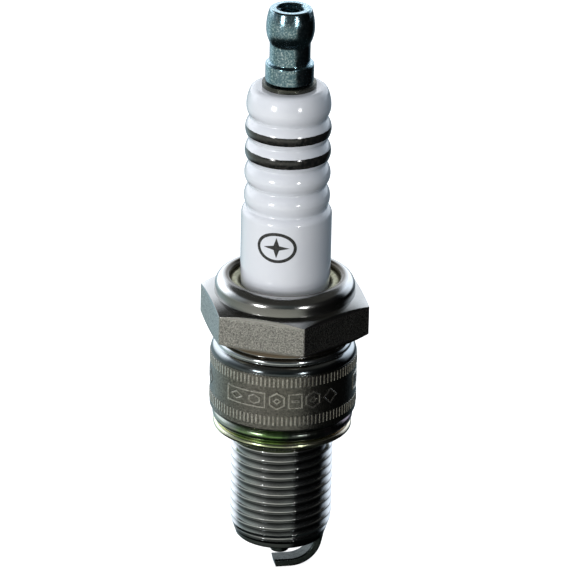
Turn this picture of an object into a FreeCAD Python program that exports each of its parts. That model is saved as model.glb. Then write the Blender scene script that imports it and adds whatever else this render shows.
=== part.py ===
import FreeCAD, Part
import math
import os
import Sketcher

# A 14 mm spark plug with a removable terminal nut, a glazed ribbed insulator, a crimped hexagon
# shell and a folded captive gasket.
#
# Every sub-part is drawn about the plug's axis, with its heights measured from the seat, the
# shoulder of the shell that the gasket bears on. Each Placement then lifts the sub-part by the
# gasket's height, so that the document's origin is the centre of the gasket's bearing face, +Z
# points to the terminal and the ground electrode's leg is on +X.

SIZES = {
    # shell: thread
    "reach": 19.0,
    "thread_diameter": 13.9,
    "thread_pitch": 1.25,
    "thread_depth": 0.767,
    "undercut_depth": 0.9,
    "undercut_length": 3.4,
    "thread_start_taper": 0.55,
    "lead_in_length": 1.95,
    "lead_in_drop": 0.65,
    "pilot_drop": 0.87,
    "pilot_length": 0.82,
    "pilot_chamfer": 0.2,
    # shell: barrel, neck and hexagon, each width beyond the thread or the packing bore
    "seat_width": 2.95,
    "barrel_wall": 2.2,
    "barrel_edge_radius": 0.45,
    "marked_band_height": 8.2,
    "marked_band_step": 0.07,
    "shoulder_height": 1.26,
    "shoulder_radius": 1.5,
    "bead_wall": 1.45,
    "bead_height": 0.85,
    "bead_radius": 0.62,
    "neck_wall": 0.9,
    "neck_length": 1.69,
    "hex_height": 3.95,
    "hex_shoulder_width": 0.8,
    "hex_corner_cut": 0.045,
    "hex_chamfer_rise": 0.29,
    "hex_dome_radius": 15.0,
    "hex_under_rise": 0.226,
    "hex_turn": 13.1,
    # shell: crimped lip
    "lip_wall": 1.75,
    "lip_foot_width": 0.05,
    "lip_cover": 0.66,
    "lip_dome_radius": 1.55,
    "lip_overlap": 0.26,
    "lip_edge_radius": 0.46,
    # shell: bores
    "packing_bore_bottom": 2.2,
    "packing_bore_taper": 1.4,
    "thread_wall": 1.75,
    "ledge_width": 0.9,
    "ledge_depth": 9.7,
    "ledge_length": 1.9,
    "nose_wall": 2.2,
    "nose_bore_taper": 0.45,
    # insulator: outside, each rib's and groove's depth below the glazed length
    "insulator_top": 46.1,
    "insulator_edge_radius": 1.0,
    "crown_depth": 0.42,
    "crown_radius": 5.1,
    "crown_drop": 2.62,
    "rib_depth": 0.31,
    "rib_pitch": 3.22,
    "groove_depth": 0.93,
    "groove_fillet": 0.3,
    "last_groove_depth": 0.64,
    "last_groove_drop": 1.4,
    "body_shoulder": 1.2,
    "glaze_thickness": 0.06,
    "glaze_margin": 0.4,
    "flange_clearance": 0.05,
    "flange_top": 9.9,
    "flange_chamfer": 0.4,
    "flange_length": 6.9,
    "flange_taper": 1.6,
    "core_clearance": 0.1,
    "step_clearance": 0.5,
    "nose_projection": 1.2,
    "nose_diameter": 5.0,
    "nose_edge_radius": 0.4,
    # insulator: bore
    "terminal_bore": 4.1,
    "electrode_clearance": 0.05,
    "head_seat_depth": 8.0,
    "head_seat_taper": 1.0,
    # packing between insulator and shell
    "packing_width": 1.68,
    "ring_side": 0.4,
    "ring_over_hex": 1.25,
    "washer_thickness": 0.5,
    "washer_setback": 0.1,
    # electrodes
    "electrode_diameter": 2.5,
    "electrode_projection": 2.8,
    "electrode_tip_chamfer": 0.1,
    "head_clearance": 0.1,
    "head_top_depth": 5.2,
    "copper_diameter": 1.4,
    "copper_tip_cover": 2.25,
    "spark_gap": 1.1,
    "strap_width": 2.65,
    "strap_thickness": 1.1,
    "strap_corner_radius": 0.25,
    "strap_bend_radius": 3.85,
    "strap_overhang": 0.77,
    "strap_turn": 10.5,
    # conductive stack
    "lower_seal_length": 3.7,
    "resistor_length": 10.0,
    "upper_seal_length": 5.0,
    # terminal stud
    "anchor_insertion": 4.0,
    "anchor_drop": 0.35,
    "anchor_groove": 0.3,
    "anchor_pitch": 1.0,
    "anchor_length": 5.1,
    "shank_clearance": 0.1,
    "stud_flange_diameter": 7.28,
    "stud_flange_height": 0.7,
    "stud_flange_edge": 0.12,
    "stud_thread_diameter": 3.94,
    "stud_thread_pitch": 0.7,
    "stud_thread_depth": 0.43,
    "stud_thread_length": 8.4,
    "stud_relief_length": 0.6,
    "stud_relief_depth": 0.47,
    "stud_tip_chamfer": 0.4,
    # terminal nut
    "nut_seat_gap": 0.05,
    "nut_running_clearance": 0.06,
    "nut_tip_room": 0.3,
    "nut_mouth_length": 1.6,
    "nut_thread_depth": 0.35,
    "nut_mouth_chamfer": 0.35,
    "nut_collar_wall": 1.22,
    "nut_collar_height": 2.65,
    "nut_collar_chamfer": 0.2,
    "nut_collar_edge": 0.22,
    "nut_waist_wall": 0.7,
    "nut_waist_fillet": 0.15,
    "nut_waist_length": 2.55,
    "nut_bulge_wall": 1.22,
    "nut_bulge_drop": 2.7,
    "nut_bulge_radius": 4.6,
    "nut_crown_radius": 8.0,
    "nut_rim_radius": 0.3,
    # gasket
    "gasket_height": 2.85,
    "gasket_sheet": 0.42,
    "gasket_setback": 0.4,
    "gasket_upper_height": 1.86,
    "gasket_fold_gap": 0.06,
    "gasket_lower_setback": 0.52,
    "gasket_top_clearance": 0.15,
    "gasket_fold_clearance": 0.35,
    "gasket_seat_clearance": 0.1,
    "gasket_catch": 0.45,
    "gasket_catch_rise": 0.3,
}

RIB_COUNT = 5
ANCHOR_GROOVES = 4
LEDGE_SLOPE = 1.0  # the insulator's seat in the shell rises at 45 degrees
STRAP_LEAN = math.radians(12.5)  # how far the ground electrode leans in before its bend
THREAD_FLANK = math.tan(math.radians(30))  # half of a 60 degree thread's flank angle
CREST_SHARE = 1 / 8  # of the pitch that is left flat on a crest
CUTTER_MARGIN = 0.05  # how far a thread cutter starts off the metal
CUTTER_REACH = 2.0  # how far the hexagon's cutter reaches past its corners
HEX_CORNER = 2 / math.sqrt(3)  # a hexagon's corner radius, for a flat at radius 1


# --- sizes that know their expressions ---------------------------------------------------------


class Size:
    """A length with its value now and the expression that keeps it up to date."""

    def __init__(self, value, text):
        self.value = value
        self.text = text

    def __add__(self, other):
        other = as_size(other)
        return Size(self.value + other.value, f"({self.text} + {other.text})")

    def __sub__(self, other):
        other = as_size(other)
        return Size(self.value - other.value, f"({self.text} - {other.text})")

    def __mul__(self, other):
        other = as_size(other)
        return Size(self.value * other.value, f"({self.text} * {other.text})")

    def __truediv__(self, other):
        other = as_size(other)
        return Size(self.value / other.value, f"({self.text} / {other.text})")

    def __neg__(self):
        return Size(-self.value, f"(0 - {self.text})")

    def __radd__(self, other):
        return as_size(other) + self

    def __rsub__(self, other):
        return as_size(other) - self

    def __rmul__(self, other):
        return as_size(other) * self


def as_size(number):
    return number if isinstance(number, Size) else Size(float(number), f"{float(number):.9f}")


def root(size):
    return Size(math.sqrt(size.value), f"sqrt({size.text})")


class Sheet:
    """The spreadsheet of driving sizes, whose aliases are also this object's attributes."""

    def __init__(self, document, sizes):
        sheet = document.addObject("Spreadsheet::Sheet", "Sizes")
        for row, (name, value) in enumerate(sizes.items(), start=1):
            sheet.set(f"A{row}", name)
            sheet.set(f"B{row}", str(value))
            sheet.setAlias(f"B{row}", name)
            setattr(self, name, Size(value, f"Sizes.{name}"))


# --- sketches and features ---------------------------------------------------------------------


def new_body(name, turn=None):
    """A body for one sub-part, lifted so that the gasket's bearing face is at height 0."""
    body = doc.addObject("PartDesign::Body", f"{name}_body")
    body.Label = name
    body.setExpression("Placement.Base.z", S.gasket_height.text)
    if turn is not None:
        body.setExpression("Placement.Rotation.Angle", turn.text)
    return body


def plane(body, role):
    return next(f for f in body.Origin.OriginFeatures if f.Role == role)


def new_sketch(body, name, role="XZ_Plane", lift=None):
    sketch = body.newObject("Sketcher::SketchObject", name)
    sketch.AttachmentSupport = [(plane(body, role), "")]
    sketch.MapMode = "FlatFace"
    if lift is not None:
        sketch.setExpression("AttachmentOffset.Base.z", lift.text)
    return sketch


def arc_between(start, end, bend):
    """An arc of radius abs(bend) from start to end, centred on the left when bend is positive."""
    chord = end - start
    middle = (start + end) / 2
    half = chord.Length / 2
    rise = math.sqrt(max(bend * bend - half * half, 0.0))
    left = FreeCAD.Vector(-chord.y, chord.x, 0).normalize()
    centre = middle + left * math.copysign(rise, bend)
    first, last = (start, end) if bend > 0 else (end, start)
    angles = [math.atan2(p.y - centre.y, p.x - centre.x) for p in (first, last)]
    circle = Part.Circle(centre, FreeCAD.Vector(0, 0, 1), abs(bend))
    return Part.ArcOfCircle(circle, *angles)


def draw_outline(sketch, corners, closed=True):
    """Draw a line of corners (across, up), each one fixed to the sheet's sizes.

    A corner (across, up, bend) is reached by an arc of radius abs(bend), which turns left when
    bend is positive. The other corners are reached by straight lines.
    """
    corners = [tuple(as_size(x) for x in corner) for corner in corners]
    count = len(corners)
    first_edge = sketch.GeometryCount
    ends = []  # the sketcher's name for each edge's start and end point
    constraints, bound = [], []
    edges = count if closed else count - 1
    for i in range(edges):
        start, end = corners[i], corners[(i + 1) % count]
        a = FreeCAD.Vector(start[0].value, start[1].value, 0)
        b = FreeCAD.Vector(end[0].value, end[1].value, 0)
        edge = first_edge + i
        if len(end) == 2:
            sketch.addGeometry(Part.LineSegment(a, b))
            ends.append(((edge, 1), (edge, 2)))
            continue
        bend = end[2]
        sketch.addGeometry(arc_between(a, b, bend.value))
        ends.append(((edge, 1), (edge, 2)) if bend.value > 0 else ((edge, 2), (edge, 1)))
        radius = bend if bend.value > 0 else -bend
        constraints.append(Sketcher.Constraint("Radius", edge, radius.value))
        bound.append(radius)
    for i, corner in enumerate(corners):
        point = ends[i][0] if i < edges else ends[-1][1]
        for direction, axis, size in (("DistanceX", -2, corner[0]), ("DistanceY", -1, corner[1])):
            if size.value == 0:
                constraints.append(Sketcher.Constraint("PointOnObject", *point, axis))
                bound.append(None)
            else:
                constraints.append(Sketcher.Constraint(direction, -1, 1, *point, size.value))
                bound.append(size)
    joints = range(edges if closed else edges - 1)
    for i in joints:
        constraints.append(Sketcher.Constraint("Coincident", *ends[i][1], *ends[(i + 1) % edges][0]))
        bound.append(None)
    first_constraint = sketch.ConstraintCount
    sketch.addConstraint(constraints)
    for i, size in enumerate(bound, start=first_constraint):
        if size is not None:
            sketch.setExpression(f"Constraints[{i}]", size.text)


def revolve(body, name, corners, feature="PartDesign::Revolution"):
    """Turn a closed outline of (radius, height) corners about the axis."""
    sketch = new_sketch(body, f"{name}_profile")
    draw_outline(sketch, corners)
    turned = body.newObject(feature, name)
    turned.Profile = sketch
    turned.ReferenceAxis = (sketch, ["V_Axis"])
    turned.Angle = 360
    sketch.Visibility = False
    body.Tip = turned
    return turned


def cut_thread(body, name, crest, depth, pitch, bottom, length):
    """Cut a right-hand 60 degree thread. A negative depth cuts outwards, into a bore's wall."""
    outwards = depth.value < 0
    margin = -CUTTER_MARGIN if outwards else CUTTER_MARGIN
    flank = -THREAD_FLANK if outwards else THREAD_FLANK
    open_half = pitch * (1 - CREST_SHARE) / 2 + margin * flank
    root_half = pitch * (1 - CREST_SHARE) / 2 - depth * flank
    sketch = new_sketch(body, f"{name}_profile")
    draw_outline(sketch, [
        (crest + margin, bottom - open_half),
        (crest + margin, bottom + open_half),
        (crest - depth, bottom + root_half),
        (crest - depth, bottom - root_half),
    ])
    helix = body.newObject("PartDesign::SubtractiveHelix", name)
    helix.Profile = sketch
    helix.ReferenceAxis = (sketch, ["V_Axis"])
    helix.Mode = "pitch-height-angle"
    helix.setExpression("Pitch", pitch.text)
    helix.setExpression("Height", length.text)
    helix.Angle = 0
    helix.LeftHanded = False
    helix.Reversed = False
    sketch.Visibility = False
    body.Tip = helix
    return helix


# --- sizes that several sub-parts share --------------------------------------------------------


def derive(sheet):
    """Add the radii and heights that two or more sub-parts meet at."""
    # radii, outwards from the thread and then inwards to the insulator
    sheet.thread = sheet.thread_diameter / 2
    sheet.undercut = sheet.thread - sheet.undercut_depth
    sheet.barrel = sheet.thread + sheet.seat_width
    sheet.packing_bore = sheet.barrel - sheet.barrel_wall
    sheet.packing_land = sheet.packing_bore - sheet.packing_width
    sheet.glazed = sheet.packing_land + sheet.glaze_thickness
    sheet.body_bore = sheet.thread - sheet.thread_wall
    sheet.core = sheet.body_bore - sheet.core_clearance
    sheet.ledge_bore = sheet.body_bore - sheet.ledge_width
    sheet.nose_bore = sheet.thread - sheet.nose_wall
    sheet.pilot = sheet.thread - sheet.pilot_drop
    sheet.terminal_hole = sheet.terminal_bore / 2
    sheet.electrode = sheet.electrode_diameter / 2
    sheet.electrode_hole = sheet.electrode + sheet.electrode_clearance
    sheet.copper = sheet.copper_diameter / 2
    sheet.stud_thread = sheet.stud_thread_diameter / 2
    # the rings' round side, and heights up the shell
    sheet.ring_radius = sheet.packing_width / 2
    sheet.ring_across = sheet.packing_land + sheet.ring_radius
    sheet.bead_bottom = sheet.marked_band_height + sheet.shoulder_height
    sheet.bead_top = sheet.bead_bottom + sheet.bead_height
    sheet.hex_bottom = sheet.bead_top + sheet.neck_length
    sheet.hex_top = sheet.hex_bottom + sheet.hex_height
    sheet.upper_ring_bottom = sheet.hex_top + sheet.ring_over_hex
    sheet.upper_ring_level = sheet.upper_ring_bottom + sheet.ring_side
    sheet.lower_ring_level = sheet.flange_top + sheet.ring_side
    sheet.lip_top = sheet.upper_ring_level + sheet.ring_radius + sheet.lip_cover
    # heights of the stack in the insulator's bore
    sheet.electrode_tip = -sheet.reach - sheet.electrode_projection
    sheet.copper_tip = sheet.electrode_tip + sheet.copper_tip_cover
    sheet.head_top = -sheet.head_top_depth
    sheet.lower_seal_top = sheet.head_top + sheet.lower_seal_length
    sheet.resistor_top = sheet.lower_seal_top + sheet.resistor_length
    sheet.upper_seal_top = sheet.resistor_top + sheet.upper_seal_length
    sheet.anchor_bottom = sheet.upper_seal_top - sheet.anchor_insertion
    sheet.stud_flange_top = sheet.insulator_top + sheet.stud_flange_height
    sheet.stud_tip = sheet.stud_flange_top + sheet.stud_thread_length


def ledge_height(radius):
    """The height of the shell's sloping ledge at a radius."""
    return -S.ledge_depth + (radius - S.ledge_bore) * LEDGE_SLOPE


# --- shell -------------------------------------------------------------------------------------


def metal_shell():
    body = new_body("metal_shell", turn=S.hex_turn)
    neck = S.packing_bore + S.neck_wall
    lip = S.packing_bore + S.lip_wall
    lip_foot = lip + S.lip_foot_width
    hex_flat = lip_foot + S.hex_shoulder_width
    hex_corner = hex_flat * HEX_CORNER - S.hex_corner_cut
    hex_underside = S.hex_bottom - (hex_corner - neck) * S.hex_under_rise
    lip_foot_level = S.hex_top + (hex_corner - lip_foot) * S.hex_chamfer_rise
    opening = S.packing_bore - S.lip_overlap
    lip_in = opening - S.ring_across
    lip_underside = S.upper_ring_level + root(S.ring_radius * S.ring_radius - lip_in * lip_in)
    ledge_bottom = -S.ledge_depth - S.ledge_length
    pilot_top = -S.reach + S.pilot_length
    revolve(body, "shell_turning", [
        (S.undercut, 0),
        (S.barrel - S.barrel_edge_radius, 0),
        (S.barrel, S.barrel_edge_radius, S.barrel_edge_radius),
        (S.barrel, S.marked_band_height),
        (S.barrel - S.marked_band_step, S.marked_band_height),
        (S.packing_bore + S.bead_wall, S.bead_bottom, S.shoulder_radius),
        (neck, S.bead_top, S.bead_radius),
        (neck, hex_underside),
        (hex_corner, S.hex_bottom, S.hex_dome_radius),
        (hex_corner, S.hex_top),
        (lip_foot, lip_foot_level, S.hex_dome_radius),
        (lip, S.lip_top - S.lip_dome_radius),
        (lip - S.lip_dome_radius, S.lip_top, S.lip_dome_radius),
        (opening + S.lip_edge_radius, S.lip_top),
        (opening, S.lip_top - S.lip_edge_radius, S.lip_edge_radius),
        (opening, lip_underside),
        (S.packing_bore, S.upper_ring_level, -S.ring_radius),
        (S.packing_bore, S.packing_bore_bottom),
        (S.body_bore, S.packing_bore_bottom - S.packing_bore_taper),
        (S.body_bore, ledge_height(S.body_bore)),
        (S.ledge_bore, -S.ledge_depth),
        (S.ledge_bore, ledge_bottom),
        (S.nose_bore, ledge_bottom - S.nose_bore_taper),
        (S.nose_bore, -S.reach),
        (S.pilot - S.pilot_chamfer, -S.reach),
        (S.pilot, -S.reach + S.pilot_chamfer),
        (S.pilot, pilot_top),
        (S.thread - S.lead_in_drop, pilot_top),
        (S.thread, pilot_top + S.lead_in_length),
        (S.thread, -S.undercut_length - S.thread_start_taper),
        (S.undercut, -S.undercut_length),
    ])
    cut_hexagon(body, hex_flat, hex_corner)
    cut_thread(
        body,
        "shell_thread",
        crest=S.thread,
        depth=S.thread_depth,
        pitch=S.thread_pitch,
        bottom=-S.reach + S.thread_pitch / 2,
        length=S.reach - S.undercut_length / 2 - S.thread_pitch,
    )
    return body


def cut_hexagon(body, flat, corner):
    """Mill the six flats from above the hexagon's chamfer to below its underside."""
    sharp = flat * HEX_CORNER
    past = corner - flat
    sketch = new_sketch(body, "hexagon_profile", role="XY_Plane", lift=S.hex_top + past)
    draw_outline(sketch, [
        (0, -sharp),
        (flat, -sharp / 2),
        (flat, sharp / 2),
        (0, sharp),
        (-flat, sharp / 2),
        (-flat, -sharp / 2),
    ])
    reach = corner + CUTTER_REACH
    outside = sketch.GeometryCount
    sketch.addGeometry(Part.Circle(FreeCAD.Vector(0, 0, 0), FreeCAD.Vector(0, 0, 1), reach.value))
    first = sketch.ConstraintCount
    sketch.addConstraint([
        Sketcher.Constraint("Coincident", outside, 3, -1, 1),
        Sketcher.Constraint("Radius", outside, reach.value),
    ])
    sketch.setExpression(f"Constraints[{first + 1}]", reach.text)
    pocket = body.newObject("PartDesign::Pocket", "hexagon")
    pocket.Profile = sketch
    pocket.setExpression("Length", (S.hex_height + past * 2).text)
    sketch.Visibility = False
    body.Tip = pocket


# --- insulator ---------------------------------------------------------------------------------


def scallop(crest, crest_level, groove, groove_level):
    """The arc from a rib's crest that meets a groove's fillet smoothly.

    Returns the arc's radius and the point where it meets the fillet.
    """
    fillet = S.groove_fillet
    depth = crest - groove
    drop = groove_level - crest_level
    radius = drop * drop / (depth * 2) + depth / 2 - fillet
    share = radius / (radius + fillet)
    across = crest - radius + (groove + fillet - crest + radius) * share
    return radius, (across, crest_level + drop * share)


def insulator():
    body = new_body("insulator")
    top = S.insulator_top
    crown, crown_level = S.glazed - S.crown_depth, top - S.crown_drop
    edge = S.insulator_edge_radius
    # the crown's long arc meets the top's rounded edge smoothly
    crown_centre = crown - S.crown_radius
    between = S.crown_radius - edge
    rise = S.crown_drop - edge
    edge_centre = crown_centre + root(between * between - rise * rise)
    share = S.crown_radius / between
    edge_meets = (crown_centre + (edge_centre - crown_centre) * share, crown_level + rise * share)
    corners = [
        (S.terminal_hole, top),
        (edge_centre, top),
        (*edge_meets, -edge),
        (crown, crown_level, -S.crown_radius),
    ]
    crest, level = crown, crown_level
    for rib in range(1, RIB_COUNT + 1):
        if rib < RIB_COUNT:
            groove, groove_level = S.glazed - S.groove_depth, level - S.rib_pitch / 2
            below, below_level = S.glazed - S.rib_depth, level - S.rib_pitch
        else:
            groove, groove_level = S.glazed - S.last_groove_depth, level - S.last_groove_drop
            below, below_level = S.glazed, groove_level - S.body_shoulder
        upper_radius, leaves = scallop(crest, level, groove, groove_level)
        lower_radius, arrives = scallop(below, below_level, groove, groove_level)
        corners += [
            (*leaves, -upper_radius),
            (*arrives, S.groove_fillet),
            (below, below_level, -lower_radius),
        ]
        crest, level = below, below_level
    glaze_bottom = S.lip_top + S.glaze_margin
    flange = S.packing_bore - S.flange_clearance
    flange_bottom = S.flange_top - S.flange_length
    step = S.ledge_bore - S.step_clearance
    nose = S.nose_diameter / 2
    nose_tip = -S.reach - S.nose_projection
    corners += [
        (S.glazed, glaze_bottom),
        (S.packing_land, glaze_bottom),
        (S.packing_land, S.flange_top),
        (flange - S.flange_chamfer, S.flange_top),
        (flange, S.flange_top - S.flange_chamfer),
        (flange, flange_bottom),
        (S.core, flange_bottom - S.flange_taper),
        (S.core, ledge_height(S.core) + S.washer_thickness),
        (step, ledge_height(step) + S.washer_thickness),
        (nose, nose_tip + S.nose_edge_radius),
        (nose - S.nose_edge_radius, nose_tip, -S.nose_edge_radius),
        (S.electrode_hole, nose_tip),
        (S.electrode_hole, -S.head_seat_depth),
        (S.terminal_hole, -S.head_seat_depth + S.head_seat_taper),
    ]
    revolve(body, "insulator_turning", corners)
    return body


# --- packing between insulator and shell -------------------------------------------------------


def packing_ring(name, bottom, level):
    """A wire ring pressed flat below and against both walls, and left round on top."""
    body = new_body(name)
    revolve(body, f"{name}_pressing", [
        (S.packing_land, bottom),
        (S.packing_bore, bottom),
        (S.packing_bore, level),
        (S.ring_across, level + S.ring_radius, S.ring_radius),
        (S.packing_land, level, S.ring_radius),
    ])
    return body


def talc_filling():
    """The powder between the two rings, pressed round the lower ring's top."""
    body = new_body("talc_filling")
    level = S.lower_ring_level
    revolve(body, "talc_pressing", [
        (S.packing_land, level),
        (S.ring_across, level + S.ring_radius, -S.ring_radius),
        (S.packing_bore, level, -S.ring_radius),
        (S.packing_bore, S.upper_ring_bottom),
        (S.packing_land, S.upper_ring_bottom),
    ])
    return body


def seat_packing_washer():
    """The soft washer pinched between the insulator's step and the shell's ledge."""
    body = new_body("seat_packing_washer")
    inner, outer = S.ledge_bore + S.washer_setback, S.core
    revolve(body, "washer_pressing", [
        (inner, ledge_height(inner)),
        (outer, ledge_height(outer)),
        (outer, ledge_height(outer) + S.washer_thickness),
        (inner, ledge_height(inner) + S.washer_thickness),
    ])
    return body


# --- electrodes --------------------------------------------------------------------------------


def center_electrode():
    """The nickel jacket, with its head on the insulator's conical seat and a bore for copper."""
    body = new_body("center_electrode")
    head = S.terminal_hole - S.head_clearance
    seat_rise = S.head_seat_taper / (S.terminal_hole - S.electrode_hole)
    seat_bottom = -S.head_seat_depth - S.electrode_clearance * seat_rise
    seat_top = -S.head_seat_depth + (head - S.electrode_hole) * seat_rise
    revolve(body, "electrode_heading", [
        (0, S.electrode_tip),
        (S.electrode - S.electrode_tip_chamfer, S.electrode_tip),
        (S.electrode, S.electrode_tip + S.electrode_tip_chamfer),
        (S.electrode, seat_bottom),
        (head, seat_top),
        (head, S.head_top),
        (S.copper, S.head_top),
        (S.copper, S.copper_tip + S.copper),
        (0, S.copper_tip, -S.copper),
    ])
    return body


def copper_core():
    body = new_body("copper_core")
    revolve(body, "core_drawing", [
        (0, S.copper_tip),
        (S.copper, S.copper_tip + S.copper, S.copper),
        (S.copper, S.head_top),
        (0, S.head_top),
    ])
    return body


def ground_electrode():
    """The strap welded to the shell's end, leaning in and bent under the centre electrode."""
    body = new_body("ground_electrode", turn=S.strap_turn)
    leg, half = (S.nose_bore + S.pilot) / 2, S.strap_thickness / 2
    middle = S.electrode_tip - S.spark_gap - half
    bend = S.strap_bend_radius
    bend_top = middle + bend * (1 - math.sin(STRAP_LEAN))
    bend_start = leg - (-S.reach - bend_top) * math.tan(STRAP_LEAN)
    bend_end = bend_start - bend * math.cos(STRAP_LEAN)
    path = new_sketch(body, "strap_path")
    draw_outline(path, [
        (leg, -S.reach),
        (bend_start, bend_top),
        (bend_end, middle, -bend),
        (-S.strap_overhang, middle),
    ], closed=False)
    section = new_sketch(body, "strap_section", role="XY_Plane", lift=-S.reach)
    side, edge = S.strap_width / 2, S.strap_corner_radius
    draw_outline(section, [
        (leg - half + edge, -side, edge),
        (leg + half - edge, -side),
        (leg + half, edge - side, edge),
        (leg + half, side - edge),
        (leg + half - edge, side, edge),
        (leg - half + edge, side),
        (leg - half, side - edge, edge),
        (leg - half, edge - side),
    ])
    pipe = body.newObject("PartDesign::AdditivePipe", "strap")
    pipe.Profile = section
    pipe.Spine = (path, [])
    path.Visibility = section.Visibility = False
    body.Tip = pipe
    return body


# --- conductive stack --------------------------------------------------------------------------


def plain_slug(name, bottom, top):
    """A slug that fills the insulator's bore between two heights."""
    body = new_body(name)
    bore = S.terminal_hole
    revolve(body, f"{name}_pressing", [(0, bottom), (bore, bottom), (bore, top), (0, top)])
    return body


def anchor_corners(top):
    """The anchor's grooved side, from its bottom edge up to a height."""
    radius = S.terminal_hole - S.shank_clearance - S.anchor_drop
    corners = [(radius, S.anchor_bottom)]
    for groove in range(ANCHOR_GROOVES):
        level = S.anchor_bottom + S.anchor_pitch * (groove + 0.5)
        corners += [
            (radius, level - S.anchor_groove),
            (radius - S.anchor_groove, level),
            (radius, level + S.anchor_groove),
        ]
    return corners + [(radius, top)]


def upper_glass_seal():
    """The glass melted round the stud's grooved anchor."""
    body = new_body("upper_glass_seal")
    corners = [(0, S.resistor_top), (S.terminal_hole, S.resistor_top)]
    corners += [(S.terminal_hole, S.upper_seal_top)]
    corners += reversed(anchor_corners(S.upper_seal_top))
    corners += [(0, S.anchor_bottom)]
    revolve(body, "upper_seal_melt", corners)
    return body


# --- terminal ----------------------------------------------------------------------------------


def terminal_stud():
    body = new_body("terminal_stud")
    shank = S.terminal_hole - S.shank_clearance
    flange = S.stud_flange_diameter / 2
    relief = S.stud_thread - S.stud_relief_depth
    relief_top = S.stud_flange_top + S.stud_relief_length
    anchor_top = S.anchor_bottom + S.anchor_length
    edge = S.stud_flange_edge
    chamfer = S.stud_tip_chamfer
    corners = [(0, S.anchor_bottom), *anchor_corners(anchor_top)]
    corners += [
        (shank, anchor_top + S.anchor_drop),
        (shank, S.insulator_top),
        (flange - edge, S.insulator_top),
        (flange, S.insulator_top + edge, edge),
        (flange, S.stud_flange_top - edge),
        (flange - edge, S.stud_flange_top, edge),
        (relief, S.stud_flange_top),
        (relief, relief_top),
        (S.stud_thread, relief_top + S.stud_relief_depth),
        (S.stud_thread, S.stud_tip - chamfer),
        (S.stud_thread - chamfer, S.stud_tip),
        (0, S.stud_tip),
    ]
    revolve(body, "stud_turning", corners)
    bottom = S.stud_flange_top + S.stud_relief_length / 2
    cut_thread(
        body,
        "stud_thread",
        crest=S.stud_thread,
        depth=S.stud_thread_depth,
        pitch=S.stud_thread_pitch,
        bottom=bottom,
        length=S.stud_tip + S.stud_thread_pitch - bottom,
    )
    return body


def terminal_nut():
    """The nut, bored clear of the stud's crests below and threaded above the stud's tip."""
    body = new_body("terminal_nut")
    seat = S.stud_flange_top + S.nut_seat_gap
    bore_top = S.stud_tip + S.nut_tip_room
    top = bore_top + S.nut_mouth_length
    bore = S.stud_thread + S.nut_running_clearance
    minor = S.stud_thread - S.nut_thread_depth
    mouth = S.nut_mouth_chamfer
    collar = bore + S.nut_collar_wall
    collar_top = seat + S.nut_collar_height
    waist = bore + S.nut_waist_wall
    waist_top = collar_top + S.nut_waist_length
    bulge = bore + S.nut_bulge_wall
    bulge_level = top - S.nut_bulge_drop
    fillet = S.nut_waist_fillet
    chamfer, edge = S.nut_collar_chamfer, S.nut_collar_edge
    rim = S.nut_rim_radius
    # the bulge's lower arc meets a hollow arc that ends upright at the waist's top
    drop, depth = bulge_level - waist_top, bulge - waist
    hollow = (drop * drop + depth * depth) / (depth * 2) - S.nut_bulge_radius
    share = S.nut_bulge_radius / (S.nut_bulge_radius + hollow)
    meets = (bulge - depth * share, bulge_level - drop * share)
    # the bulge's upper arc meets the rim's rounded edge
    crown_centre = bulge - S.nut_crown_radius
    between = S.nut_crown_radius - rim
    rise = S.nut_bulge_drop - rim
    rim_centre = crown_centre + root(between * between - rise * rise)
    reach = S.nut_crown_radius / between
    rim_meets = (crown_centre + (rim_centre - crown_centre) * reach, bulge_level + rise * reach)
    revolve(body, "nut_turning", [
        (bore, seat),
        (collar - chamfer, seat),
        (collar, seat + chamfer),
        (collar, collar_top - edge),
        (collar - edge, collar_top, edge),
        (waist + fillet, collar_top),
        (waist, collar_top + fillet, -fillet),
        (waist, waist_top),
        (*meets, -hollow),
        (bulge, bulge_level, S.nut_bulge_radius),
        (*rim_meets, S.nut_crown_radius),
        (rim_centre, top, rim),
        (minor + mouth, top),
        (minor, top - mouth),
        (minor, bore_top),
        (bore, bore_top),
    ])
    cut_thread(
        body,
        "nut_thread",
        crest=minor,
        depth=-S.nut_thread_depth,
        pitch=S.stud_thread_pitch,
        bottom=bore_top - S.stud_thread_pitch / 2,
        length=S.nut_mouth_length + S.stud_thread_pitch,
    )
    return body


# --- gasket ------------------------------------------------------------------------------------


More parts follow.
